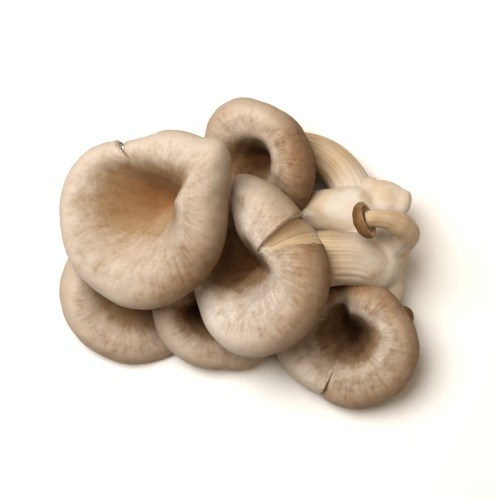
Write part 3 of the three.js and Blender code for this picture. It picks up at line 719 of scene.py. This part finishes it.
def add_bud_cap(plant, draft):
    across, along, up = axes_of(plant)
    rows = np.array(BUD_SECTION)
    at = np.linspace(0, 1, BUD_ROWS)
    shape = through(np.linspace(0, 1, len(rows)), rows, at)
    shape[0] = rows[0]
    share = np.linspace(0, 1, BUD_COLUMNS + 1)[None, :]
    angle = 2 * pi * share
    radius = shape[:, :1] * plant["radius"] * (1 + 0.05 * np.sin(2 * angle))
    height = shape[:, 1:] * plant["height"]
    points = (
        np.array(plant["top"], float)
        + (radius * np.cos(angle))[..., None] * across
        + (radius * np.sin(angle))[..., None] * along
        + (height + 0 * angle)[..., None] * up
    )
    points += (0.14 * waves(points, 4.0, plant["seed"]))[..., None] * up
    draft.sheet(points, round_grain(share, at[:, None]), at[:, None], 0)


def add_bud_stem(plant, draft):
    """A bud's stem, closed at both ends."""
    share = np.linspace(0, 1, BUD_COLUMNS + 1)[None, :]
    stations = stem_stations(plant, BUD_STEM_ROWS)
    run = np.linspace(0, 1, BUD_STEM_ROWS)[:, None]
    angles = 2 * pi * share[0]
    lumps, fibres = stem_roughness(plant, share, angles, stations, BUD_ROUGHNESS)
    points = stem_rings(angles, stations, lumps + fibres)
    first = np.repeat(stations[0][0][None, None], share.shape[1], 1)
    last = np.repeat(stations[0][-1][None, None], share.shape[1], 1)
    points = np.concatenate([first, points, last])
    along = np.concatenate([[[0.0]], run, [[1.0]]])
    draft.sheet(points, round_grain(share, -along * STEM_GRAIN), mix(*BUD_STEM_TONES, along), 0)


# ---- base ----

def add_lump(bm, centre, halves, turn):
    """One rounded lump in metres on the table."""
    place = Matrix.Translation(Vector(REST_SHIFT * MM)) @ Matrix.Rotation(REST_TILT, 4, "X")
    place = place @ Matrix.Translation(Vector(centre) * MM) @ Matrix.Rotation(radians(turn), 4, "Z")
    bmesh.ops.create_icosphere(
        bm, subdivisions=4, radius=1, matrix=place @ Matrix.Diagonal([*(h * MM for h in halves), 1])
    )


def root_flares(bm):
    """Each stem swells where it grows into the base."""
    for plant in (*MUSHROOMS.values(), *BUDS.values()):
        centres, _, radii, _, _ = stem_stations(plant, FLARE_STEPS)
        for k in range(FLARE_START, FLARE_STEPS):
            reach = radii[k] * (FLARE_SIZE + FLARE_GROWTH * (k - FLARE_START))
            add_lump(bm, centres[k], [reach] * 3, 0)


def remeshed(bm, name, voxel):
    """One skin round everything in the bmesh."""
    rough = bpy.data.meshes.new(name)
    bm.to_mesh(rough)
    bm.free()
    holder = bpy.data.objects.new(name, rough)
    bpy.context.collection.objects.link(holder)
    skin = holder.modifiers.new("One skin", "REMESH")
    skin.mode = "VOXEL"
    skin.voxel_size = voxel
    soften = holder.modifiers.new("Soften creases", "SMOOTH")
    soften.factor = 0.6
    soften.iterations = 16
    view = bpy.context.evaluated_depsgraph_get()
    mesh = bpy.data.meshes.new_from_object(holder.evaluated_get(view))
    bpy.data.objects.remove(holder)
    bpy.data.meshes.remove(rough)
    return mesh


def stem_closeness(places):
    """1 where the base lies on the clean length of a stem, fading to 0 at the stem's root."""
    close = np.zeros(len(places))
    for plant in (*MUSHROOMS.values(), *BUDS.values()):
        centres, _, radii, _, _ = stem_stations(plant, STEM_STEPS)
        runs = np.linspace(0, 1, STEM_STEPS)
        for run, centre, radius in zip(runs, on_table(centres) / MM, radii):
            away = np.linalg.norm(places - centre, axis=1) - radius
            near = 1 - smooth(*STEM_NEAR, away)
            close = np.maximum(close, near * (1 - smooth(*STEM_CLEAN, run)))
    return close


def dress_base(look):
    """The lumps and the stems' flares under one skin, with small swells."""
    bm = bmesh.new()
    for x, y, z, width, length, height, turn in BASE_LUMPS:
        add_lump(bm, (x, y, z), (width, length, height), turn)
    root_flares(bm)
    mesh = remeshed(bm, "base_flesh", look.base_voxel)
    draft = Draft()
    draft.bm.from_mesh(mesh)
    bpy.data.meshes.remove(mesh)
    draft.bm.normal_update()
    places = np.array([vert.co for vert in draft.bm.verts]) / MM
    shift = sum(height * waves(places, length, seed) for height, length, seed in BASE_SWELLS)
    close = stem_closeness(places)
    for vert, out, place, share in zip(draft.bm.verts, shift, places, close):
        vert.co += vert.normal * float(out) * MM
        vert.co.z = max(vert.co.z, 0.0)
        vert[draft.grain] = place * 0.25
        vert[draft.tone] = float(share)
    return draft


# ---- materials ----

def linear(red, green, blue):
    """A colour given as it looks on a screen, from 0 to 255, as light."""
    parts = (part / 255 for part in (red, green, blue))
    return (*(((p + 0.055) / 1.055) ** 2.4 if p > 0.04045 else p / 12.92 for p in parts), 1.0)


class Finish:
    """A material and short ways to add its nodes."""

    def __init__(self, name, roughness):
        self.material = bpy.data.materials.new(name)
        self.material.use_nodes = True
        self.tree = self.material.node_tree
        self.shader = self.tree.nodes["Principled BSDF"]
        self.shader.inputs["Roughness"].default_value = roughness
        self.shader.inputs["Specular IOR Level"].default_value = 0.25
        self.shader.inputs["Subsurface Weight"].default_value = 0.12
        self.shader.inputs["Subsurface Radius"].default_value = (1.0, 0.6, 0.35)
        self.shader.inputs["Subsurface Scale"].default_value = 0.002

    def add(self, kind, **sockets):
        node = self.tree.nodes.new(kind)
        for socket, value in sockets.items():
            self.feed(node.inputs[socket.replace("_", " ")], value)
        return node

    def feed(self, socket, value):
        if isinstance(value, bpy.types.NodeSocket):
            self.tree.links.new(value, socket)
        else:
            socket.default_value = value

    def kept(self, name, output="Fac"):
        node = self.add("ShaderNodeAttribute")
        node.attribute_name = name
        return node.outputs[output]

    def places(self):
        return self.add("ShaderNodeTexCoord").outputs["Object"]

    def noise(self, where, scale, detail=3.0, rough=0.55):
        node = self.add("ShaderNodeTexNoise", Vector=where, Scale=scale, Detail=detail)
        node.inputs["Roughness"].default_value = rough
        return node.outputs["Fac"]

    def ramp(self, value, *stops):
        node = self.add("ShaderNodeValToRGB", Fac=value)
        node.color_ramp.interpolation = "EASE"
        marks = node.color_ramp.elements
        for mark, (place, colour) in zip(marks, (stops[0], stops[-1])):
            mark.position, mark.color = place, colour
        for place, colour in stops[1:-1]:
            marks.new(place).color = colour
        return node.outputs["Color"]

    def maths(self, work, a, b):
        node = self.add("ShaderNodeMath")
        node.operation = work
        self.feed(node.inputs[0], a)
        self.feed(node.inputs[1], b)
        return node.outputs[0]

    def blend(self, share, a, b, way="MIX"):
        node = self.add("ShaderNodeMix")
        node.data_type = "RGBA"
        node.blend_type = way
        self.feed(node.inputs["Factor"], share)
        self.feed(node.inputs["A"], a)
        self.feed(node.inputs["B"], b)
        return node.outputs["Result"]

    def stretch(self, where, x, y, z):
        node = self.add("ShaderNodeMapping", Vector=where)
        node.inputs["Scale"].default_value = (x, y, z)
        return node.outputs["Vector"]

    def shade(self, colour, height, strength, distance):
        self.tree.links.new(colour, self.shader.inputs["Base Color"])
        bump = self.add("ShaderNodeBump", Height=height, Strength=strength, Distance=distance)
        self.tree.links.new(bump.outputs["Normal"], self.shader.inputs["Normal"])
        return self.material


def shaded(colour, share):
    return (*(part * share for part in colour[:3]), 1.0)


def blend_of(a, b, share):
    return tuple(mix(x, y, share) for x, y in zip(a, b))


def skin_finish(name, look, tint, deep):
    """Velvety cap skin: brown in the throat, partly its own colour and partly painted shade of the
    funnel; light over the crest with a painted highlight band; darker at the margin, partly painted
    shade where it turns under; painted shade, with darker pigment, on shaded sides and walls.
    """
    f = Finish(name, 0.8)
    f.shader.inputs["Sheen Weight"].default_value = 0.08
    f.shader.inputs["Sheen Roughness"].default_value = 0.5
    light = blend_of(look.skin_light, look.skin_shade, tint)
    # The throat's and wall's brown deepens towards the pit on deeper caps: partly the skin's own, partly
    # painted shade of the funnel.
    throat = blend_of(look.throat, look.pit, deep)
    wall = blend_of(look.skin_shade, look.pit, 0.35 * deep)
    clouds = f.maths("MULTIPLY", f.noise(f.places(), 210.0, 4.0), 0.35)
    grain = f.kept("grain", "Vector")
    streaks = f.noise(f.stretch(grain, 1.3, 1.3, 6.0), 1.0, 4.0, 0.6)
    blotches = f.noise(f.places(), 560.0, 3.0, 0.6)
    velvet = f.noise(f.places(), 1300.0, 3.0, 0.7)
    for layer, share in ((streaks, 0.3), (blotches, 0.15), (velvet, 0.2)):
        clouds = f.maths("ADD", clouds, f.maths("MULTIPLY", layer, share))
    ragged = f.maths("MULTIPLY", f.maths("SUBTRACT", clouds, 0.5), 0.2)
    # Along the tone: the throat's and wall's brown, partly the skin's own and partly painted shade of
    # the funnel; the light crest with a painted highlight band; the roll darkening towards the margin,
    # partly its own colour and partly painted shade where it turns under; then the flesh of the
    # underside, and the base's pale colour on torn edges, partly painted light there.
    base = f.ramp(
        f.maths("ADD", f.maths("MULTIPLY", f.kept("tone"), 0.5), ragged),
        (0.0, throat),
        (0.1, blend_of(throat, wall, 0.5)),
        (0.2, wall),
        (0.29, blend_of(wall, light, 0.75)),
        (0.31, light),
        # A painted highlight along the crest, brighter on deeper caps.
        (0.345, shaded(light, 1.07 + 0.09 * deep)),
        (0.38, light),
        (0.44, blend_of(light, look.skin_shade, 0.5)),
        (0.5, tuple(look.margin)),
        (0.62, tuple(look.flesh)),
        (0.8, tuple(look.base)),
    )
    worn = f.ramp(clouds, (0.36, (0.81, 0.72, 0.61, 1)), (0.5, (0.96, 0.95, 0.94, 1)),
                  (0.62, (1.05, 1.06, 1.07, 1)))
    colour = f.blend(look.mottle, base, f.blend(1.0, base, worn, "MULTIPLY"))
    uneven = f.ramp(clouds, (0.36, (1, 1, 1, 1)), (0.62, (0.7, 0.7, 0.7, 1)))
    # Painted shade, with darker pigment, mottled and multiplied in as a brown on the shaded sides and
    # walls.
    shade_and_pigment = f.maths("MULTIPLY", f.kept("painted_shade_and_pigment"), uneven)
    colour = f.blend(shade_and_pigment, colour, f.blend(1.0, colour, (0.5, 0.355, 0.21, 1), "MULTIPLY"))
    fibres = f.noise(f.stretch(grain, 5.0, 5.0, 9.0), 1.0, 3.0, 0.6)
    height = f.maths("ADD", f.maths("MULTIPLY", velvet, 0.5), f.maths("MULTIPLY", fibres, 0.5))
    return f.shade(colour, height, 0.3, 0.0003)


def flesh_finish(name, look):
    """Gills and stems: cream edges, painted shade in the grooves between the gills, lengthwise fibres
    and a pale root.
    """
    f = Finish(name, 0.72)
    grain = f.kept("grain", "Vector")
    fibres = f.noise(f.stretch(grain, 1.5, 1.5, 0.8), 1.0, 3.0, 0.5)
    base = f.ramp(
        fibres, (0.3, tuple(look.fibre)), (0.52, tuple(look.flesh)), (0.72, shaded(look.flesh, 1.06))
    )
    patches = f.noise(f.places(), 120.0, 3.0)
    warm = f.ramp(patches, (0.35, (0.9, 0.85, 0.78, 1)), (0.6, (1, 1, 1, 1)))
    colour = f.blend(0.6, base, f.blend(1.0, base, warm, "MULTIPLY"))
    rooted = f.ramp(f.kept("tone"), (0.73, (0, 0, 0, 1)), (0.93, (1, 1, 1, 1)))
    colour = f.blend(rooted, colour, tuple(look.base))
    # Painted shade in the grooves between the gills.
    colour = f.blend(f.maths("MULTIPLY", f.kept("painted_shade_and_pigment"), 0.45), colour, tuple(look.groove))
    fine = f.noise(f.stretch(grain, 9.0, 9.0, 2.0), 1.0, 3.0)
    return f.shade(colour, fine, 0.4, 0.0004)


def base_finish(name, look):
    """Pale flesh of the base, with the stems' colour where they lie close."""
    f = Finish(name, 0.8)
    patches = f.noise(f.places(), 70.0, 5.0)
    colour = f.ramp(
        patches,
        (0.34, blend_of(look.base, look.flesh, 0.8)),
        (0.55, tuple(look.base)),
        (0.68, shaded(look.base, 1.08)),
    )
    colour = f.blend(f.kept("tone"), colour, tuple(look.flesh))
    return f.shade(colour, f.noise(f.places(), 500.0, 4.0), 0.25, 0.0003)


def bud_finish(name, look):
    """Dark skin of a closed bud, paler at its margin."""
    f = Finish(name, 0.75)
    tone = f.kept("tone")
    base = f.ramp(
        tone, (0.0, tuple(look.bud)), (0.42, tuple(look.bud)), (0.56, tuple(look.margin)),
        (0.72, tuple(look.flesh)),
    )
    patches = f.noise(f.places(), 260.0, 4.0)
    worn = f.ramp(patches, (0.35, (0.7, 0.66, 0.6, 1)), (0.6, (1, 1, 1, 1)))
    colour = f.blend(0.8, base, f.blend(1.0, base, worn, "MULTIPLY"))
    return f.shade(colour, f.noise(f.places(), 1500.0, 3.0), 0.35, 0.0003)


def plain_finish(name, colour):
    f = Finish(name, 0.9)
    f.shader.inputs["Subsurface Weight"].default_value = 0
    f.shader.inputs["Base Color"].default_value = colour
    return f.material


# ---- settings ----

def colour_setting(name, description, colour):
    return bpy.props.FloatVectorProperty(
        name=name, description=description, subtype="COLOR", size=4, min=0, max=1, default=colour
    )


def count_setting(name, description, default, low, high):
    return bpy.props.IntProperty(
        name=name, description=description, default=default, min=low, max=high
    )


def length_setting(name, description, default, low, high):
    return bpy.props.FloatProperty(
        name=name, description=description, default=default, min=low, max=high, unit="LENGTH"
    )


def share_setting(name, description, default):
    return bpy.props.FloatProperty(
        name=name, description=description, default=default, min=0, max=1, subtype="FACTOR"
    )


class MushroomLook(bpy.types.PropertyGroup):
    """Sizes and colours of the cluster's fine surface."""

    gills: count_setting("Long Gills", "Long gills under each cap, with short ones between", 56, 12, 90)
    skin_columns: count_setting("Skin Columns", "Faces round each cap", 216, 48, 360)
    skin_rows: count_setting("Skin Rows", "Faces from a cap's throat to its margin", 60, 16, 120)
    gill_rows: count_setting("Gill Rows", "Faces along each gill", 26, 8, 60)
    stem_rows: count_setting("Stem Rows", "Faces along each stem", 34, 8, 90)
    gill_run: share_setting("Gill Run", "Share of the stem that the gills run down", 0.45)
    swell: length_setting("Swell", "How far the flesh swells and sinks", 0.00045, 0, 0.002)
    swell_length: length_setting(
        "Swell Length", "Distance from one swell to the next", 0.024, 0.005, 0.08
    )
    base_voxel: length_setting(
        "Base Detail", "Size of the base's finest shapes", 0.0009, 0.0005, 0.003
    )
    mottle: share_setting("Mottle", "Strength of the skin's patches and streaks", 0.8)
    skin_light: colour_setting("Skin Light", "Skin over the crest", linear(200, 187, 173))
    skin_shade: colour_setting("Skin Shade", "Skin on the funnel's wall", linear(172, 147, 118))
    # Throat and pit: brown at the bottom of a funnel, partly the skin's own and partly painted shade of
    # its hollow, the near-black pit most of all.
    throat: colour_setting("Throat", "Skin at the bottom of a shallow funnel", linear(156, 119, 82))
    pit: colour_setting("Pit", "Skin at the bottom of a deep funnel", linear(72, 45, 20))
    # The margin's darker brown is partly its own and partly painted shade where the roll turns under.
    margin: colour_setting("Margin", "Skin at the rolled margin", linear(149, 120, 87))
    flesh: colour_setting("Flesh", "Gills, stems and torn edges", linear(204, 184, 158))
    fibre: colour_setting("Fibre", "Darker fibres of the stems", linear(184, 160, 130))
    # Painted shade in the grooves between the gills.
    groove: colour_setting("Groove", "Between the gills", linear(140, 112, 82))
    base: colour_setting("Base", "The base's flesh", linear(216, 206, 193))
    bud: colour_setting("Bud", "Skin of the young buds", linear(140, 110, 77))
    floor: colour_setting("Floor", "The table under the cluster", linear(246, 245, 243))


# ---- operators ----

class MUSHROOM_OT_caps(bpy.types.Operator):
    """Dress the six open caps"""

    bl_idname = "mushroom.caps"
    bl_label = "Open Caps"

    def execute(self, context):
        look = context.scene.mushroom_look
        for name, plant in MUSHROOMS.items():
            draft = Draft()
            add_cap(plant, draft, look)
            skin = skin_finish(f"cap_skin_{name}", look, plant["tint"], plant["deep"])
            draft.finish(f"{name}_cap", skin, plant["slot"], f"cap_{name}")
        return {"FINISHED"}


class MUSHROOM_OT_gills_and_stems(bpy.types.Operator):
    """Dress the gills and stems of the open mushrooms"""

    bl_idname = "mushroom.gills_and_stems"
    bl_label = "Gills and Stems"

    def execute(self, context):
        look = context.scene.mushroom_look
        flesh = flesh_finish("gill_and_stem_flesh", look)
        for name, plant in MUSHROOMS.items():
            draft = Draft()
            add_gills(plant, draft, look)
            draft.finish(f"{name}_gills_and_stem", flesh, "flesh_cream", f"gills_stem_{name}")
        return {"FINISHED"}


class MUSHROOM_OT_buds(bpy.types.Operator):
    """Dress the two young buds"""

    bl_idname = "mushroom.buds"
    bl_label = "Young Buds"

    def execute(self, context):
        look = context.scene.mushroom_look
        skin = bud_finish("bud_skin", look)
        flesh = flesh_finish("bud_stem_flesh", look)
        for name, plant in BUDS.items():
            cap = Draft()
            add_bud_cap(plant, cap)
            cap.finish(f"{name}_cap", skin, "skin_brown", f"cap_{name}")
            stem = Draft()
            add_bud_stem(plant, stem)
            stem.finish(f"{name}_stem", flesh, "flesh_cream", f"stem_{name}")
        return {"FINISHED"}


class MUSHROOM_OT_base(bpy.types.Operator):
    """Dress the lumpy base that the stems grow into"""

    bl_idname = "mushroom.base"
    bl_label = "Base"

    def execute(self, context):
        look = context.scene.mushroom_look
        draft = dress_base(look)
        draft.finish("base_lumps", base_finish("base_flesh", look), "base_ivory", "base")
        return {"FINISHED"}


class MUSHROOM_OT_stage(bpy.types.Operator):
    """Set the table, the soft lights and the camera"""

    bl_idname = "mushroom.stage"
    bl_label = "Table, Lights and Camera"

    def execute(self, context):
        look = context.scene.mushroom_look
        table = bmesh.new()
        bmesh.ops.create_grid(table, x_segments=1, y_segments=1, size=TABLE_SIZE)
        mesh = bpy.data.meshes.new("table")
        table.to_mesh(mesh)
        table.free()
        mesh.materials.append(plain_finish("table_top", tuple(look.floor)))
        floor = bpy.data.objects.new("table", mesh)
        context.collection.objects.link(floor)
        for light in LIGHTS:
            add_light(context, *light)
        world = bpy.data.worlds.new("soft_room")
        world.use_nodes = True
        room = world.node_tree.nodes["Background"]
        room.inputs["Color"].default_value = ROOM_COLOUR
        room.inputs["Strength"].default_value = ROOM_STRENGTH
        context.scene.world = world
        context.scene.view_settings.view_transform = "Standard"
        context.scene.view_settings.look = "High Contrast"
        add_camera(context)
        return {"FINISHED"}


def add_light(context, name, place, size, power, colour):
    light = bpy.data.lights.new(name, "AREA")
    light.shape = "DISK"
    light.size = size
    light.energy = power
    light.color = colour
    lamp = bpy.data.objects.new(name, light)
    lamp.location = place
    aim = Vector(LIT_PLACE) - lamp.location
    lamp.rotation_euler = aim.to_track_quat("-Z", "Y").to_euler()
    context.collection.objects.link(lamp)


def add_camera(context):
    """A camera straight over the cluster's own frame, tilted as the cluster is."""
    lens = bpy.data.cameras.new("camera")
    lens.sensor_width = SENSOR
    lens.lens = SENSOR * CAMERA_DISTANCE / VIEW_WIDTH
    lens.clip_start = 0.01
    camera = bpy.data.objects.new("camera", lens)
    turned = Vector((0, -sin(REST_TILT), cos(REST_TILT))) * CAMERA_DISTANCE
    camera.location = (turned + Vector(REST_SHIFT)) * MM
    camera.rotation_euler = (REST_TILT, 0, 0)
    context.collection.objects.link(camera)
    context.scene.camera = camera


class MUSHROOM_PT_panel(bpy.types.Panel):
    """The cluster's settings and steps"""

    bl_idname = "MUSHROOM_PT_panel"
    bl_label = "Mushroom Cluster"
    bl_space_type = "VIEW_3D"
    bl_region_type = "UI"
    bl_category = "Mushrooms"

    def draw(self, context):
        look = context.scene.mushroom_look
        for setting in MushroomLook.__annotations__:
            self.layout.prop(look, setting)
        for step in STEPS:
            self.layout.operator(step.bl_idname)


STEPS = (
    MUSHROOM_OT_caps,
    MUSHROOM_OT_gills_and_stems,
    MUSHROOM_OT_buds,
    MUSHROOM_OT_base,
    MUSHROOM_OT_stage,
)
CLASSES = (MushroomLook, *STEPS, MUSHROOM_PT_panel)


def register():
    for kind in CLASSES:
        bpy.utils.register_class(kind)
    bpy.types.Scene.mushroom_look = bpy.props.PointerProperty(type=MushroomLook)


def unregister():
    del bpy.types.Scene.mushroom_look
    for kind in reversed(CLASSES):
        bpy.utils.unregister_class(kind)


def main():
    register()
    bpy.ops.mushroom.caps()
    bpy.ops.mushroom.gills_and_stems()
    bpy.ops.mushroom.buds()
    bpy.ops.mushroom.base()
    bpy.ops.mushroom.stage()


if __name__ == "__main__":
    main()
